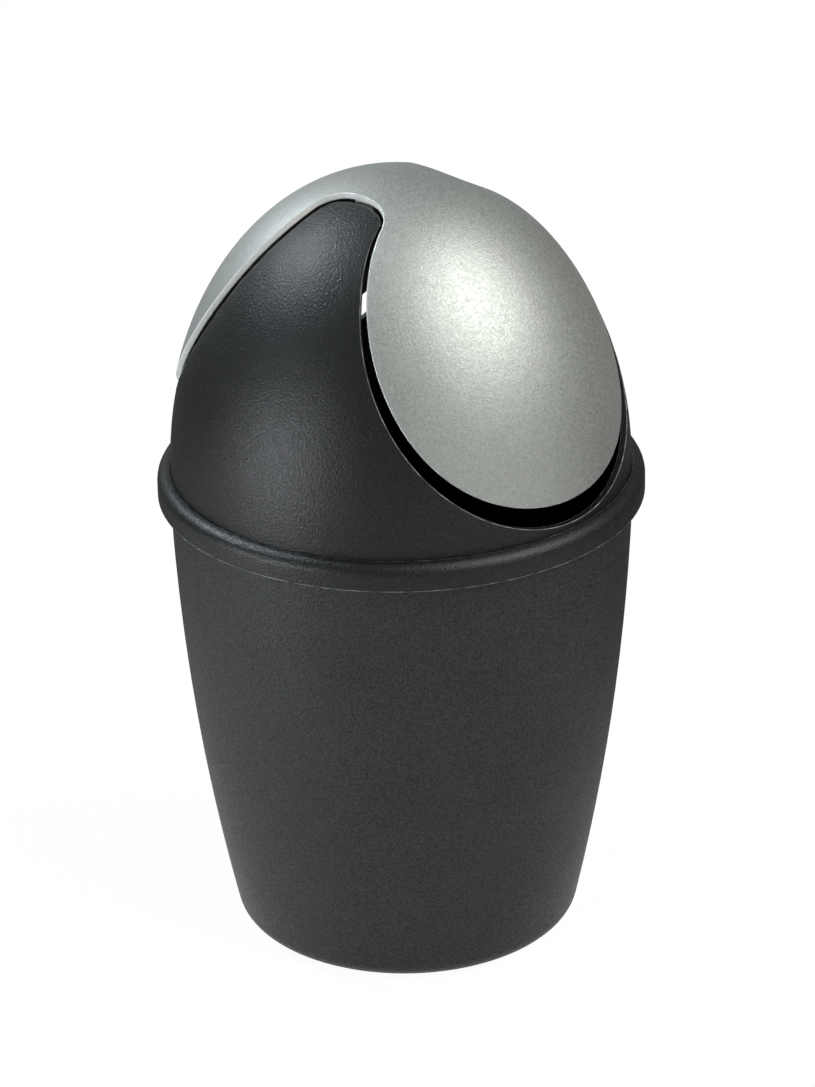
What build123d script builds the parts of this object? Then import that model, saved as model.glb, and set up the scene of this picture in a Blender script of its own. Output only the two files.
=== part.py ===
"""Countertop waste bin: a tapered bucket, a lift-off domed hood and a flap that swings in the hood.

Millimetres, +Z up. The origin is the centre of the underside. The front is -Y and the flap swings about X.
"""

import os

from build123d import *

os.makedirs("parts", exist_ok=True)

# Bucket: a round moulding whose side bows gently outwards to a lip round the rim
BASE_RADIUS = 49.6
SIDE_RADIUS = 61.4
SIDE_HEIGHT = 67.7
RIM_RADIUS = 66.6
RIM_HEIGHT = 141.0
BASE_ROUND = 6.2
BUCKET_WALL = 1.6
LIP_RADIUS = 68.0
LIP_THICKNESS = 2.0
LIP_ROUND = 0.9
FOOT_INNER_RADIUS = 39.0
FOOT_RISE = 1.2

# Hood: a dome on a collar, cut away in front and behind so that two cheeks are left
HOOD_WALL = 1.8
DOME_RADIUS = 66.1
DOME_FOOT = 143.1
DOME_HEIGHT = 87.3
FOOT_FULLNESS = 0.543
CROWN_FULLNESS = 0.586
COLLAR_RADIUS = 70.0
COLLAR_WALL = 1.6
COLLAR_BOTTOM = 135.4
COLLAR_INNER_ROUND = 1.0
SHOULDER_ROUND = 3.6
GROOVE_DEPTH = 0.6
PLUG_RADIUS = 64.6
PLUG_WALL = 1.3
PLUG_BOTTOM = 137.0
CHEEK_TIP = 17.3
CHEEK_CORNER = 2.5

# Flap: a saddle of the same dome, narrow where it passes between the tips of the cheeks.
# It hangs a degree off level, the front lobe inwards.
FLAP_WALL = 1.8
FLAP_WAIST = 14.2
FLAP_CORNER = 5.0
FLAP_TILT = 1.0

# Edges of the cheeks and of the flap in side view: distance from the middle, and height
CHEEK_EDGE = [(4.5, 235.0), (14.2, 219.8), (22.1, 206.0), (34.3, 185.4), (49.5, 163.9), (66.1, 144.6)]
FLAP_EDGE = [(6.5, 234.0), (15.6, 221.0), (28.4, 200.2), (42.0, 179.3), (55.3, 162.4), (66.1, 151.6)]
TIP_BOW = 30.0
TIP_REACH = 18.0

# Pivot: a pin in the ear under each side of the flap's waist turns in a lug under the tip of the cheek
PIVOT_HEIGHT = 219.5
EAR_FACE = 13.4
EAR_THICKNESS = 2.2
EAR_RADIUS = 3.4
LUG_FACE = 17.6
LUG_THICKNESS = 2.4
LUG_RADIUS = 3.6
SLEEVE_FACE = 13.7
SLEEVE_RADIUS = 3.0
PIN_RADIUS = 1.6
PIN_CLEARANCE = 0.08
PIN_END = 18.8
BORE_END = 19.2
PIN_HEAD_RADIUS = 2.8
PIN_HEAD_THICKNESS = 1.0
PIN_CHAMFER = 0.4
ROOT_DEPTH = 0.6


def dome_core(inset):
    """The solid dome, drawn in from its outer surface by the inset."""
    radius = DOME_RADIUS - inset
    height = DOME_HEIGHT - inset
    crown = DOME_FOOT + height
    with BuildPart() as core:
        with BuildSketch(Plane.XZ):
            with BuildLine():
                Bezier(
                    (radius, DOME_FOOT),
                    (radius, DOME_FOOT + FOOT_FULLNESS * height),
                    (CROWN_FULLNESS * radius, crown),
                    (0, crown),
                )
                Polyline((0, crown), (0, DOME_FOOT), (radius, DOME_FOOT))
            make_face()
        revolve(axis=Axis.Z)
    return core.part


def cheek_zone(edge, tip, corner):
    """The space two cheeks take up: under the edge curve in front and behind, and outside their tips."""
    foot, foot_height = edge[-1]
    beyond = foot + 20
    floor = DOME_FOOT - 30
    tip_back = tip + TIP_BOW - (TIP_BOW**2 - TIP_REACH**2) ** 0.5
    with BuildPart() as zone:
        with BuildSketch(Plane.YZ):
            with BuildLine():
                Line((0, edge[0][1]), edge[0])
                Spline(edge)
                Polyline(edge[-1], (beyond, foot_height - 6), (beyond, floor), (0, floor))
                mirror(about=Plane.YZ)
            make_face()
        extrude(amount=DOME_RADIUS + 20, both=True)
        with BuildSketch(Plane.XY.offset(DOME_FOOT + 20)):
            with BuildLine():
                ThreePointArc((tip_back, -TIP_REACH), (tip, 0), (tip_back, TIP_REACH))
                Polyline((tip_back, TIP_REACH), (tip_back, beyond), (0, beyond))
                Polyline((0, -beyond), (tip_back, -beyond), (tip_back, -TIP_REACH))
                mirror(about=Plane.YZ)
            make_face()
        extrude(amount=DOME_HEIGHT, mode=Mode.SUBTRACT)
        tip_corners = zone.edges().filter_by_position(Axis.X, -tip_back, tip_back)
        fillet(tip_corners.filter_by(GeomType.BSPLINE), corner)
    return zone.part


def pivot_plane(distance):
    """The plane across the pivot axis at a distance left of the middle, facing left, with its Y upwards."""
    return Plane(origin=(-distance, 0, PIVOT_HEIGHT), x_dir=(0, -1, 0), z_dir=(-1, 0, 0))


def hanger(distance, thickness, radius):
    """A plate that hangs from inside the dome's wall to a round end on the pivot axis, on the left."""
    with BuildPart() as plate:
        with BuildSketch(pivot_plane(distance)):
            Circle(radius)
            Rectangle(2 * radius, DOME_HEIGHT, align=(Align.CENTER, Align.MIN))
        extrude(amount=thickness)
        add(dome_core(ROOT_DEPTH), mode=Mode.INTERSECT)
    return plate.part


# Bucket
with BuildPart() as bin_body:
    with BuildSketch(Plane.XZ):
        with BuildLine():
            Polyline((0, RIM_HEIGHT), (0, FOOT_RISE), (FOOT_INNER_RADIUS, FOOT_RISE))
            Line((FOOT_INNER_RADIUS, FOOT_RISE), (FOOT_INNER_RADIUS + FOOT_RISE, 0))
            Line((FOOT_INNER_RADIUS + FOOT_RISE, 0), (BASE_RADIUS, 0))
            ThreePointArc((BASE_RADIUS, 0), (SIDE_RADIUS, SIDE_HEIGHT), (RIM_RADIUS, RIM_HEIGHT))
            Line((RIM_RADIUS, RIM_HEIGHT), (0, RIM_HEIGHT))
        make_face()
    revolve(axis=Axis.Z)
    base_rim = bin_body.edges().filter_by_position(Axis.Z, -0.01, 0.01).sort_by(SortBy.LENGTH)[-1]
    fillet(base_rim, BASE_ROUND)
    offset(amount=-BUCKET_WALL, openings=bin_body.faces().sort_by(Axis.Z)[-1])
    with BuildSketch(Plane.XY.offset(RIM_HEIGHT)):
        Circle(LIP_RADIUS)
        Circle(RIM_RADIUS - BUCKET_WALL / 2, mode=Mode.SUBTRACT)
    extrude(amount=-LIP_THICKNESS)
    lip_rim = bin_body.edges().group_by(Axis.Z)[-1].sort_by(SortBy.LENGTH)[-1]
    fillet(lip_rim, LIP_ROUND)
bin_body.part.label = "bin_body"
export_step(bin_body.part, "parts/bin_body.step")

# Hood
with BuildPart() as cheek_form:
    add(dome_core(0))
    add(cheek_zone(CHEEK_EDGE, CHEEK_TIP, CHEEK_CORNER), mode=Mode.INTERSECT)

with BuildPart() as left_lug:
    add(hanger(LUG_FACE, LUG_THICKNESS, LUG_RADIUS))
    with BuildSketch(pivot_plane(SLEEVE_FACE)):
        Circle(SLEEVE_RADIUS)
    extrude(amount=LUG_FACE - SLEEVE_FACE)
    with BuildSketch(pivot_plane(SLEEVE_FACE)):
        Circle(PIN_RADIUS + PIN_CLEARANCE)
    extrude(amount=BORE_END - SLEEVE_FACE, mode=Mode.SUBTRACT)

with BuildPart() as hood:
    thicken(to_thicken=cheek_form.faces().filter_by(GeomType.REVOLUTION), amount=-HOOD_WALL)
    plug_inner = PLUG_RADIUS - PLUG_WALL
    dome_inner = DOME_RADIUS - HOOD_WALL
    skirt_inner = COLLAR_RADIUS - COLLAR_WALL
    shoulder_inner = COLLAR_RADIUS - SHOULDER_ROUND
    shoulder_bottom = DOME_FOOT - SHOULDER_ROUND
    with BuildSketch(Plane.XZ) as collar:
        with BuildLine():
            Polyline(
                (COLLAR_RADIUS, shoulder_bottom),
                (COLLAR_RADIUS, COLLAR_BOTTOM),
                (skirt_inner, COLLAR_BOTTOM),
                (skirt_inner, RIM_HEIGHT),
                (PLUG_RADIUS, RIM_HEIGHT),
                (PLUG_RADIUS, PLUG_BOTTOM),
                (plug_inner, PLUG_BOTTOM),
                (plug_inner, DOME_FOOT - dome_inner + plug_inner),
                (dome_inner, DOME_FOOT),
                (DOME_RADIUS, DOME_FOOT),
                (DOME_RADIUS, DOME_FOOT - GROOVE_DEPTH),
                (shoulder_inner, DOME_FOOT - GROOVE_DEPTH),
                (shoulder_inner, DOME_FOOT),
            )
            RadiusArc((shoulder_inner, DOME_FOOT), (COLLAR_RADIUS, shoulder_bottom), SHOULDER_ROUND)
        make_face()
        fillet(collar.vertices().sort_by_distance((skirt_inner, RIM_HEIGHT))[0], COLLAR_INNER_ROUND)
        chamfer(collar.vertices().sort_by_distance((PLUG_RADIUS, PLUG_BOTTOM))[0], PLUG_WALL / 3)
    revolve(axis=Axis.Z)
    add(left_lug.part)
    add(mirror(left_lug.part, about=Plane.YZ, mode=Mode.PRIVATE))
hood.part.label = "hood"
export_step(hood.part, "parts/hood.step")

# Flap
with BuildPart() as saddle_form:
    add(dome_core(0))
    add(cheek_zone(FLAP_EDGE, FLAP_WAIST, FLAP_CORNER), mode=Mode.SUBTRACT)

with BuildPart() as left_ear:
    add(hanger(EAR_FACE - EAR_THICKNESS, EAR_THICKNESS, EAR_RADIUS))
    with BuildSketch(pivot_plane(EAR_FACE)):
        Circle(PIN_RADIUS)
    extrude(amount=-EAR_THICKNESS, mode=Mode.SUBTRACT)

with BuildPart() as level_flap:
    thicken(to_thicken=saddle_form.faces().filter_by(GeomType.REVOLUTION), amount=-FLAP_WALL)
    add(left_ear.part)
    add(mirror(left_ear.part, about=Plane.YZ, mode=Mode.PRIVATE))

with BuildPart() as swing_flap:
    pivot_axis = Axis((0, 0, PIVOT_HEIGHT), (1, 0, 0))
    add(level_flap.part.rotate(pivot_axis, FLAP_TILT))
swing_flap.part.label = "swing_flap"
export_step(swing_flap.part, "parts/swing_flap.step")

# Pivot pins
with BuildPart() as pivot_pin_left:
    head_face = EAR_FACE - EAR_THICKNESS - PIN_HEAD_THICKNESS
    with BuildSketch(pivot_plane(head_face)):
        Circle(PIN_HEAD_RADIUS)
    extrude(amount=PIN_HEAD_THICKNESS)
    with BuildSketch(pivot_plane(head_face)):
        Circle(PIN_RADIUS)
    extrude(amount=PIN_END - head_face)
    pin_ends = pivot_pin_left.edges().filter_by(GeomType.CIRCLE).sort_by(Axis.X)
    chamfer(pin_ends[0], PIN_CHAMFER)
    fillet(pin_ends[-1], PIN_CHAMFER)
pivot_pin_left.part.label = "pivot_pin_left"
export_step(pivot_pin_left.part, "parts/pivot_pin_left.step")

with BuildPart() as pivot_pin_right:
    mirror(pivot_pin_left.part, about=Plane.YZ)
pivot_pin_right.part.label = "pivot_pin_right"
export_step(pivot_pin_right.part, "parts/pivot_pin_right.step")
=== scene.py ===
"""Countertop bin with a swing flap: the skins of its mouldings, and a plain white studio round them.

Metres, +Z up. The bin stands at the origin with its front towards -Y, and the flap swings about X.
"""

import bmesh
import bpy
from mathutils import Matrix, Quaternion, Vector


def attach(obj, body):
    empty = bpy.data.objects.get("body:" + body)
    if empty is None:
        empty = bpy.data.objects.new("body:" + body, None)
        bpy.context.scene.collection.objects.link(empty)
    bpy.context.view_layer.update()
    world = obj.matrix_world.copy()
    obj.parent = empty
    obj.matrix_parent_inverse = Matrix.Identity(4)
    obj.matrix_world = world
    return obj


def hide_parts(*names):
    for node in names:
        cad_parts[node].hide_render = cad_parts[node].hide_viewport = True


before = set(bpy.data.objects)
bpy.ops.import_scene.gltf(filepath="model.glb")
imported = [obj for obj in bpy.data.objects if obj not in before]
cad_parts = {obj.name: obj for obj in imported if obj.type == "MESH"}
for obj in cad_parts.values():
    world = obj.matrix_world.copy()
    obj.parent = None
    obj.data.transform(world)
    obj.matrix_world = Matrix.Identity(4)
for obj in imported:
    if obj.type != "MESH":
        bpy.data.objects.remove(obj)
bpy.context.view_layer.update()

# Bucket: one tapered moulding in charcoal plastic, open at the top, with a thick lip under the hood's collar.
# The tool it is moulded in is blasted with grit, so its skin is finely pitted and the colour clouds a little
# where the plastic flowed. The same plastic is used for the hood, but its colour there is set darker, a
# painted shade.

# Moulded grain: the pits as a normal, and the pits and the clouds as values from 0 to 1.
grain = bpy.data.node_groups.new("moulded_grain", "ShaderNodeTree")
for name, way, kind in (
    ("Pits per metre", "INPUT", "NodeSocketFloat"),
    ("Pit depth", "INPUT", "NodeSocketFloat"),
    ("Normal", "INPUT", "NodeSocketVector"),
    ("Normal", "OUTPUT", "NodeSocketVector"),
    ("Pits", "OUTPUT", "NodeSocketFloat"),
    ("Clouds", "OUTPUT", "NodeSocketFloat"),
):
    grain.interface.new_socket(name, in_out=way, socket_type=kind)
given = grain.nodes.new("NodeGroupInput")
made = grain.nodes.new("NodeGroupOutput")
place = grain.nodes.new("ShaderNodeTexCoord")
pits = grain.nodes.new("ShaderNodeTexNoise")
pits.inputs["Detail"].default_value = 3.0
pits.inputs["Roughness"].default_value = 0.62
clouds = grain.nodes.new("ShaderNodeTexNoise")
clouds.inputs["Scale"].default_value = 31.0
clouds.inputs["Detail"].default_value = 4.0
relief = grain.nodes.new("ShaderNodeBump")
relief.inputs["Strength"].default_value = 1.0
link = grain.links.new
link(place.outputs["Object"], pits.inputs["Vector"])
link(place.outputs["Object"], clouds.inputs["Vector"])
link(given.outputs["Pits per metre"], pits.inputs["Scale"])
link(given.outputs["Pit depth"], relief.inputs["Distance"])
link(given.outputs["Normal"], relief.inputs["Normal"])
link(pits.outputs["Fac"], relief.inputs["Height"])
link(relief.outputs["Normal"], made.inputs["Normal"])
link(pits.outputs["Fac"], made.inputs["Pits"])
link(clouds.outputs["Fac"], made.inputs["Clouds"])

# Soft edges: the normal rounded over the edges, and a patchy mask that is 1 along the edges, where a painted
# highlight is laid.
edges = bpy.data.node_groups.new("soft_edges", "ShaderNodeTree")
for name, way, kind in (
    ("Radius", "INPUT", "NodeSocketFloat"),
    ("Normal", "OUTPUT", "NodeSocketVector"),
    ("Edge highlight", "OUTPUT", "NodeSocketFloat"),
):
    edges.interface.new_socket(name, in_out=way, socket_type=kind)
given = edges.nodes.new("NodeGroupInput")
made = edges.nodes.new("NodeGroupOutput")
place = edges.nodes.new("ShaderNodeTexCoord")
surface = edges.nodes.new("ShaderNodeNewGeometry")
rounded = edges.nodes.new("ShaderNodeBevel")
rounded.samples = 6
turned = edges.nodes.new("ShaderNodeVectorMath")
turned.operation = "DOT_PRODUCT"
line = edges.nodes.new("ShaderNodeMapRange")
line.interpolation_type = "SMOOTHSTEP"
line.inputs["From Min"].default_value = 0.995
line.inputs["From Max"].default_value = 0.82
# Noise breaks the painted edge highlight into patches.
highlight_breakup = edges.nodes.new("ShaderNodeTexNoise")
highlight_breakup.inputs["Scale"].default_value = 300.0
highlight_breakup.inputs["Detail"].default_value = 3.0
patches = edges.nodes.new("ShaderNodeMapRange")
patches.inputs["From Min"].default_value = 0.38
patches.inputs["From Max"].default_value = 0.62
patches.inputs["To Min"].default_value = 0.15
broken_highlight = edges.nodes.new("ShaderNodeMath")
broken_highlight.operation = "MULTIPLY"
link = edges.links.new
link(given.outputs["Radius"], rounded.inputs["Radius"])
link(rounded.outputs["Normal"], turned.inputs[0])
link(surface.outputs["Normal"], turned.inputs[1])
link(turned.outputs["Value"], line.inputs["Value"])
link(place.outputs["Object"], highlight_breakup.inputs["Vector"])
link(highlight_breakup.outputs["Fac"], patches.inputs["Value"])
link(line.outputs["Result"], broken_highlight.inputs[0])
link(patches.outputs["Result"], broken_highlight.inputs[1])
link(rounded.outputs["Normal"], made.inputs["Normal"])
link(broken_highlight.outputs["Value"], made.inputs["Edge highlight"])


def charcoal(name, dark, light, edge_highlight, roughness):
    """Matt charcoal plastic: grained, faintly cloudy, and with a pale painted highlight along its edges."""
    material = bpy.data.materials.new(name)
    material.use_nodes = True
    nodes, link = material.node_tree.nodes, material.node_tree.links.new
    skin = nodes["Principled BSDF"]
    skin.inputs["Specular IOR Level"].default_value = 0.25
    edge = nodes.new("ShaderNodeGroup")
    edge.node_tree = edges
    edge.inputs["Radius"].default_value = 0.0005
    texture = nodes.new("ShaderNodeGroup")
    texture.node_tree = grain
    texture.inputs["Pits per metre"].default_value = 1500.0
    texture.inputs["Pit depth"].default_value = 0.0002
    tone = nodes.new("ShaderNodeMix")
    tone.data_type = "RGBA"
    tone.inputs["A"].default_value = (*dark, 1)
    tone.inputs["B"].default_value = (*light, 1)
    mixing = nodes.new("ShaderNodeMath")
    mixing.operation = "MULTIPLY_ADD"
    mixing.inputs[1].default_value = 0.5
    spread = nodes.new("ShaderNodeMapRange")
    spread.inputs["From Min"].default_value = 0.36
    spread.inputs["From Max"].default_value = 0.64
    spread.inputs["To Min"].default_value = -0.25
    spread.inputs["To Max"].default_value = 0.75
    # Along the edges the colour is mixed towards a pale painted highlight.
    highlit_edges = nodes.new("ShaderNodeMix")
    highlit_edges.data_type = "RGBA"
    highlit_edges.inputs["B"].default_value = (*edge_highlight, 1)
    gloss = nodes.new("ShaderNodeMapRange")
    gloss.inputs["From Min"].default_value = 0.3
    gloss.inputs["From Max"].default_value = 0.7
    gloss.inputs["To Min"].default_value = roughness + 0.1
    gloss.inputs["To Max"].default_value = roughness - 0.1
    link(edge.outputs["Normal"], texture.inputs["Normal"])
    link(texture.outputs["Normal"], skin.inputs["Normal"])
    link(texture.outputs["Pits"], spread.inputs["Value"])
    link(texture.outputs["Clouds"], mixing.inputs[0])
    link(spread.outputs["Result"], mixing.inputs[2])
    link(mixing.outputs["Value"], tone.inputs["Factor"])
    link(tone.outputs["Result"], highlit_edges.inputs["A"])
    link(edge.outputs["Edge highlight"], highlit_edges.inputs["Factor"])
    link(highlit_edges.outputs["Result"], skin.inputs["Base Color"])
    link(texture.outputs["Pits"], gloss.inputs["Value"])
    link(gloss.outputs["Result"], skin.inputs["Roughness"])
    return material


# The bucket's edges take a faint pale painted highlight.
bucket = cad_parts["bin_body"]
bucket.data.materials[0] = charcoal(
    "charcoal_bucket",
    dark=(0.003, 0.0033, 0.003),
    light=(0.02, 0.0218, 0.0206),
    edge_highlight=(0.05, 0.052, 0.05),
    roughness=0.4,
)

# Hood: the lift-off dome in charcoal plastic, a collar round the bucket's lip and two cheeks beside the flap.
# The cheeks' dome lies 2 mm under the flap's crown, with the wall square to it, and their tips close on the
# flap's waist, so the moulding is a copy of the solid with its cheeks drawn in to that lower dome.
dome_radius, dome_foot = 0.0661, 0.1431
foot_fullness = 0.543
# Height above the foot, and fullness at the crown, of the solid's dome and of the cheeks' lower one.
solid_height, solid_fullness = 0.0873, 0.586
cheek_height, cheek_fullness = 0.0853, 0.575
# How far the tips come down, and the levels between which that sets in.
tip_drop, drop_from, drop_to = 0.0013, 0.206, 0.2277
# The cheeks' wall is a little thinner than this. What lies deeper is the lugs, which stay.
wall_reach = 0.0021
merge_gap = 1e-6
halvings = 34
sharp_from = 0.6


def dome_profile(u, height, fullness):
    """Radius, height and outward normal at u from 0, the dome's foot, to 1, its crown."""
    v = 1 - u
    radius = dome_radius * (v**3 + 3 * v * v * u + 3 * v * u * u * fullness)
    level = dome_foot + height * (3 * v * v * u * foot_fullness + 3 * v * u * u + u**3)
    run = 3 * dome_radius * (2 * v * u * (fullness - 1) - u * u * fullness)
    rise = 3 * height * (v * v * foot_fullness + 2 * v * u * (1 - foot_fullness))
    return radius, level, Vector((rise, -run)).normalized()


def where(along):
    """The place from 0, the foot, to 1, the crown, where a quantity that falls along the dome passes 0."""
    low, high = 0.0, 1.0
    for _ in range(halvings):
        middle = (low + high) / 2
        if along(middle) > 0:
            low = middle
        else:
            high = middle
    return (low + high) / 2


def on_solid(u, radius, level):
    """How far a point lies ahead of the solid dome's normal at u."""
    skin_radius, skin_level, normal = dome_profile(u, solid_height, solid_fullness)
    return (radius - skin_radius) * -normal.y + (level - skin_level) * normal.x


hood = bpy.data.objects.new("hood_moulding", bpy.data.meshes.new("hood_moulding"))
bpy.context.scene.collection.objects.link(hood)
moulding = bmesh.new()
moulding.from_mesh(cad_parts["hood"].data)
bmesh.ops.remove_doubles(moulding, verts=moulding.verts, dist=merge_gap)
for vert in moulding.verts:
    x, y, level = vert.co
    if level < dome_foot + 10 * merge_gap:
        continue
    radius = Vector((x, y)).length
    nearest = where(lambda u: on_solid(u, radius, level))
    skin_radius, skin_level, normal = dome_profile(nearest, solid_height, solid_fullness)
    depth = (Vector((skin_radius, skin_level)) - Vector((radius, level))).dot(normal)
    if depth > wall_reach:
        continue
    step = min(max((skin_level - drop_from) / (drop_to - drop_from), 0), 1)
    target = skin_level - tip_drop * step * step * (3 - 2 * step)
    lowered = where(lambda u: target - dome_profile(u, cheek_height, cheek_fullness)[1])
    cheek_radius, skin_level, normal = dome_profile(lowered, cheek_height, cheek_fullness)
    skin_y = y * skin_radius / radius
    skin_x = max(cheek_radius**2 - skin_y**2, 0) ** 0.5 * (1 if x > 0 else -1)
    outward = Vector((skin_x, skin_y)).normalized() * normal.x
    vert.co = (skin_x - depth * outward.x, skin_y - depth * outward.y, skin_level - depth * normal.y)
for face in moulding.faces:
    face.smooth = True
for edge in moulding.edges:
    edge.smooth = edge.is_manifold and edge.calc_face_angle() < sharp_from
moulding.to_mesh(hood.data)
moulding.free()
# The hood's charcoal is set darker than the bucket's as painted shade, and its edges take a pale painted
# highlight.
hood.data.materials.append(charcoal(
    "charcoal_hood",
    dark=(0.0015, 0.0016, 0.0016),
    light=(0.0105, 0.0116, 0.0113),
    edge_highlight=(0.34, 0.35, 0.34),
    roughness=0.36,
))
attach(hood, "hood")
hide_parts("hood")

# Flap: the saddle that swings between the cheeks, one plastic moulding with a satin silver coat.
# The coat is metallic with fine flakes in it, and the cut edge all round carries a pale, less metallic
# painted highlight.


def silver(name, dark, light, rim_highlight, roughness):
    """Satin silver: a metallic coat with fine flakes on plastic, with a pale painted highlight on its edges
    and cut faces.
    """
    material = bpy.data.materials.new(name)
    material.use_nodes = True
    nodes, link = material.node_tree.nodes, material.node_tree.links.new
    skin = nodes["Principled BSDF"]
    edge = nodes.new("ShaderNodeGroup")
    edge.node_tree = edges
    edge.inputs["Radius"].default_value = 0.0007
    texture = nodes.new("ShaderNodeGroup")
    texture.node_tree = grain
    texture.inputs["Pits per metre"].default_value = 1500.0
    texture.inputs["Pit depth"].default_value = 0.00008
    # The cut edge lies across the line from the dome's middle outwards, which the skin faces along.
    place = nodes.new("ShaderNodeTexCoord")
    outwards = nodes.new("ShaderNodeVectorMath")
    outwards.operation = "SUBTRACT"
    outwards.inputs[1].default_value = (0.0, 0.0, 0.16)
    straight = nodes.new("ShaderNodeVectorMath")
    straight.operation = "NORMALIZE"
    across = nodes.new("ShaderNodeVectorMath")
    across.operation = "DOT_PRODUCT"
    size = nodes.new("ShaderNodeMath")
    size.operation = "ABSOLUTE"
    cut = nodes.new("ShaderNodeMapRange")
    cut.interpolation_type = "SMOOTHSTEP"
    cut.inputs["From Min"].default_value = 0.6
    cut.inputs["From Max"].default_value = 0.4
    # The cut face and the edges get a pale, less metallic painted highlight.
    highlit_rim = nodes.new("ShaderNodeMath")
    highlit_rim.operation = "MAXIMUM"
    metal_off_rim = nodes.new("ShaderNodeMapRange")
    metal_off_rim.inputs["To Min"].default_value = 0.85
    metal_off_rim.inputs["To Max"].default_value = 0.15
    flakes = nodes.new("ShaderNodeTexVoronoi")
    flakes.inputs["Scale"].default_value = 1700.0
    flake_tone = nodes.new("ShaderNodeSeparateColor")
    tone = nodes.new("ShaderNodeMix")
    tone.data_type = "RGBA"
    tone.inputs["A"].default_value = (*dark, 1)
    tone.inputs["B"].default_value = (*light, 1)
    mixing = nodes.new("ShaderNodeMath")
    mixing.operation = "MULTIPLY_ADD"
    mixing.inputs[1].default_value = 0.5
    spread = nodes.new("ShaderNodeMath")
    spread.operation = "MULTIPLY"
    spread.inputs[1].default_value = 0.5
    highlit_edges = nodes.new("ShaderNodeMix")
    highlit_edges.data_type = "RGBA"
    highlit_edges.inputs["B"].default_value = (*rim_highlight, 1)
    gloss = nodes.new("ShaderNodeMapRange")
    gloss.inputs["To Min"].default_value = roughness - 0.04
    gloss.inputs["To Max"].default_value = roughness + 0.05
    link(place.outputs["Object"], flakes.inputs["Vector"])
    link(flakes.outputs["Color"], flake_tone.inputs["Color"])
    link(edge.outputs["Normal"], texture.inputs["Normal"])
    link(texture.outputs["Normal"], skin.inputs["Normal"])
    link(flake_tone.outputs["Red"], spread.inputs[0])
    link(texture.outputs["Clouds"], mixing.inputs[0])
    link(spread.outputs["Value"], mixing.inputs[2])
    link(mixing.outputs["Value"], tone.inputs["Factor"])
    link(tone.outputs["Result"], highlit_edges.inputs["A"])
    link(place.outputs["Object"], outwards.inputs[0])
    link(outwards.outputs["Vector"], straight.inputs[0])
    link(straight.outputs["Vector"], across.inputs[0])
    link(place.outputs["Normal"], across.inputs[1])
    link(across.outputs["Value"], size.inputs[0])
    link(size.outputs["Value"], cut.inputs["Value"])
    link(cut.outputs["Result"], highlit_rim.inputs[0])
    link(edge.outputs["Edge highlight"], highlit_rim.inputs[1])
    link(highlit_rim.outputs["Value"], highlit_edges.inputs["Factor"])
    link(highlit_rim.outputs["Value"], metal_off_rim.inputs["Value"])
    link(metal_off_rim.outputs["Result"], skin.inputs["Metallic"])
    link(highlit_edges.outputs["Result"], skin.inputs["Base Color"])
    link(flake_tone.outputs["Green"], gloss.inputs["Value"])
    link(gloss.outputs["Result"], skin.inputs["Roughness"])
    return material


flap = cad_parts["swing_flap"]
flap.data.materials[0] = silver(
    "silver_flap",
    dark=(0.25, 0.261, 0.247),
    light=(0.36, 0.375, 0.355),
    rim_highlight=(0.52, 0.53, 0.51),
    roughness=0.52,
)

# Pivot pins: two headed plastic pins under the crown, pressed into the flap's ears so that they turn in the
# hood's lugs. They have the flap's silver coat, a little brighter and smoother.
pin_silver = silver(
    "silver_pins",
    dark=(0.34, 0.355, 0.335),
    light=(0.44, 0.455, 0.43),
    rim_highlight=(0.55, 0.56, 0.55),
    roughness=0.34,
)
for name in ("pivot_pin_left", "pivot_pin_right"):
    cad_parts[name].data.materials[0] = pin_silver

# Studio: a pale floor that the bin stands on, a white surround, and three soft lamps, two bluish ones behind
# and low on the left and one overhead in front on the right, which lays the broad highlight on the flap.
bpy.ops.mesh.primitive_plane_add(size=8.0)
floor = bpy.context.object
floor.name = "floor"
paper = bpy.data.materials.new("paper")
paper.use_nodes = True
nodes, link = paper.node_tree.nodes, paper.node_tree.links.new
matt = nodes["Principled BSDF"]
matt.inputs["Base Color"].default_value = (0.86, 0.86, 0.86, 1.0)
matt.inputs["Roughness"].default_value = 0.9
matt.inputs["Specular IOR Level"].default_value = 0.1
white = nodes.new("ShaderNodeEmission")
place = nodes.new("ShaderNodeTexCoord")
# The camera sees the floor pure white. Mirrored, it darkens behind the bin, which keeps the bin's edges dark.
away = nodes.new("ShaderNodeVectorMath")
away.operation = "DOT_PRODUCT"
away.inputs[1].default_value = (0.86, 0.5, 0.0)
shade = nodes.new("ShaderNodeMapRange")
shade.interpolation_type = "SMOOTHSTEP"
shade.inputs["From Min"].default_value = -0.12
shade.inputs["From Max"].default_value = 0.2
shade.inputs["To Min"].default_value = 1.0
shade.inputs["To Max"].default_value = 0.07
lit = nodes.new("ShaderNodeMath")
lit.operation = "MAXIMUM"
seen = nodes.new("ShaderNodeLightPath")
mirrored_ray = nodes.new("ShaderNodeMath")
mirrored_ray.operation = "MAXIMUM"
either = nodes.new("ShaderNodeMath")
either.operation = "MAXIMUM"
share = nodes.new("ShaderNodeMath")
share.operation = "MULTIPLY"
share.inputs[1].default_value = 0.96
blend = nodes.new("ShaderNodeMixShader")
link(seen.outputs["Is Glossy Ray"], mirrored_ray.inputs[0])
link(seen.outputs["Is Transmission Ray"], mirrored_ray.inputs[1])
link(seen.outputs["Is Camera Ray"], either.inputs[0])
link(mirrored_ray.outputs["Value"], either.inputs[1])
link(either.outputs["Value"], share.inputs[0])
link(place.outputs["Object"], away.inputs[0])
link(away.outputs["Value"], shade.inputs["Value"])
link(shade.outputs["Result"], lit.inputs[0])
link(seen.outputs["Is Camera Ray"], lit.inputs[1])
link(lit.outputs["Value"], white.inputs["Strength"])
link(share.outputs["Value"], blend.inputs["Fac"])
link(matt.outputs["BSDF"], blend.inputs[1])
link(white.outputs["Emission"], blend.inputs[2])
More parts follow.
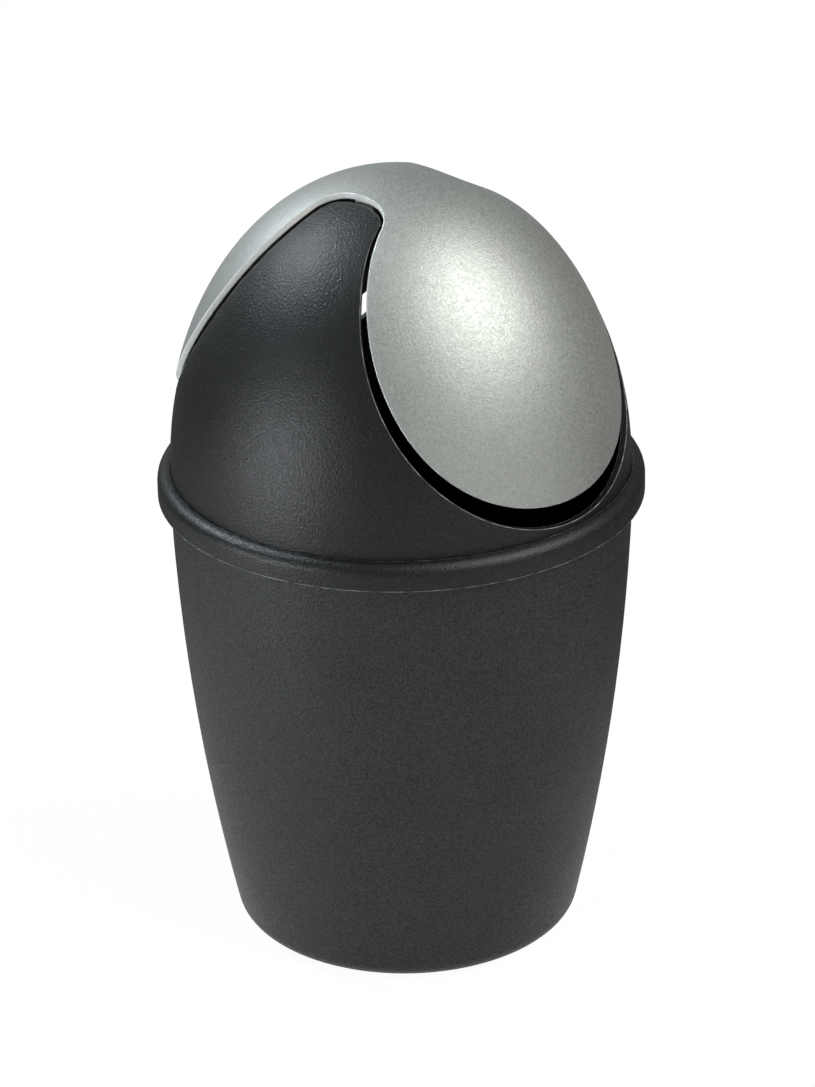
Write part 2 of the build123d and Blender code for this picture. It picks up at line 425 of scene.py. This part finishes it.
link(blend.outputs["Shader"], nodes["Material Output"].inputs["Surface"])
floor.data.materials.append(paper)

world = bpy.data.worlds.new("studio")
bpy.context.scene.world = world
world.use_nodes = True
nodes, link = world.node_tree.nodes, world.node_tree.links.new
room = nodes["Background"]
room.inputs["Color"].default_value = (0.97, 1.0, 0.98, 1)
room.inputs["Strength"].default_value = 0.2
backdrop = nodes.new("ShaderNodeBackground")
backdrop.inputs["Color"].default_value = (1, 1, 1, 1)
backdrop.inputs["Strength"].default_value = 1.0
mirrored = nodes.new("ShaderNodeBackground")
mirrored.inputs["Color"].default_value = (0.98, 1, 0.98, 1)
# Mirrored, the surround is dim at the far left and right, as if dark flags stood there.
way = nodes.new("ShaderNodeTexCoord")
towards = nodes.new("ShaderNodeVectorMath")
towards.operation = "DOT_PRODUCT"
towards.inputs[1].default_value = (0.93, -0.36, 0.0)
half = nodes.new("ShaderNodeMath")
half.operation = "MULTIPLY_ADD"
half.inputs[1].default_value = 0.5
half.inputs[2].default_value = 0.5
dim = nodes.new("ShaderNodeValToRGB")
dim.color_ramp.interpolation = "EASE"
dim.color_ramp.elements[0].color = (0.06, 0.06, 0.06, 1)
dim.color_ramp.elements[1].color = (0.12, 0.12, 0.12, 1)
for stop, level in ((0.17, 0.1), (0.48, 0.5), (0.75, 0.24)):
    mark = dim.color_ramp.elements.new(stop)
    mark.color = (level, level, level, 1)
mirrored_ray = nodes.new("ShaderNodeMath")
mirrored_ray.operation = "MAXIMUM"
reflected = nodes.new("ShaderNodeMixShader")
seen = nodes.new("ShaderNodeLightPath")
blend = nodes.new("ShaderNodeMixShader")
link(way.outputs["Generated"], towards.inputs[0])
link(towards.outputs["Value"], half.inputs[0])
link(half.outputs["Value"], dim.inputs["Fac"])
link(dim.outputs["Color"], mirrored.inputs["Strength"])
link(seen.outputs["Is Glossy Ray"], mirrored_ray.inputs[0])
link(seen.outputs["Is Transmission Ray"], mirrored_ray.inputs[1])
link(mirrored_ray.outputs["Value"], reflected.inputs["Fac"])
link(room.outputs["Background"], reflected.inputs[1])
link(mirrored.outputs["Background"], reflected.inputs[2])
link(seen.outputs["Is Camera Ray"], blend.inputs["Fac"])
link(reflected.outputs["Shader"], blend.inputs[1])
link(backdrop.outputs["Background"], blend.inputs[2])
link(blend.outputs["Shader"], nodes["World Output"].inputs["Surface"])

bin_middle = Vector((0.0, 0.0, 0.12))
for name, place, width, height, power, colour in (
    ("softbox_back", (-0.3, 1.3, 1.49), 0.4, 0.4, 36.0, (0.84, 0.92, 1.0)),
    ("softbox_left", (-1.13, 0.36, 0.16), 0.35, 0.3, 11.5, (0.9, 0.95, 1.0)),
    ("softbox_front", (0.44, -1.2, 1.5), 1.4, 1.4, 50.0, (1.0, 1.0, 0.97)),
):
    lamp = bpy.data.lights.new(name, "AREA")
    lamp.shape = "RECTANGLE"
    lamp.size, lamp.size_y = width, height
    lamp.energy = power
    lamp.color = colour
    softbox = bpy.data.objects.new(name, lamp)
    softbox.location = place
    softbox.visible_camera = False
    softbox.rotation_euler = (bin_middle - Vector(place)).to_track_quat("-Z", "Y").to_euler()
    bpy.context.scene.collection.objects.link(softbox)

# Camera: about 1.35 m off, above the left front of the bin, with a long lens.
# It is turned a degree about its own line of sight.
eye = Vector((-0.89191, -0.82812, 0.70122))
aim = Vector((0.0011, -0.00119, 0.1171))
roll = -0.01585
lens = bpy.data.cameras.new("camera")
lens.sensor_width = 36.0
lens.lens = 154.62
lens.shift_x = -0.0004
lens.shift_y = -0.0014
lens.clip_start = 0.05
lens.clip_end = 30.0
camera = bpy.data.objects.new("camera", lens)
camera.rotation_mode = "QUATERNION"
camera.rotation_quaternion = (aim - eye).to_track_quat("-Z", "Y") @ Quaternion((0, 0, 1), roll)
camera.location = eye
bpy.context.scene.collection.objects.link(camera)
bpy.context.scene.camera = camera

bpy.context.scene.view_settings.view_transform = "Standard"
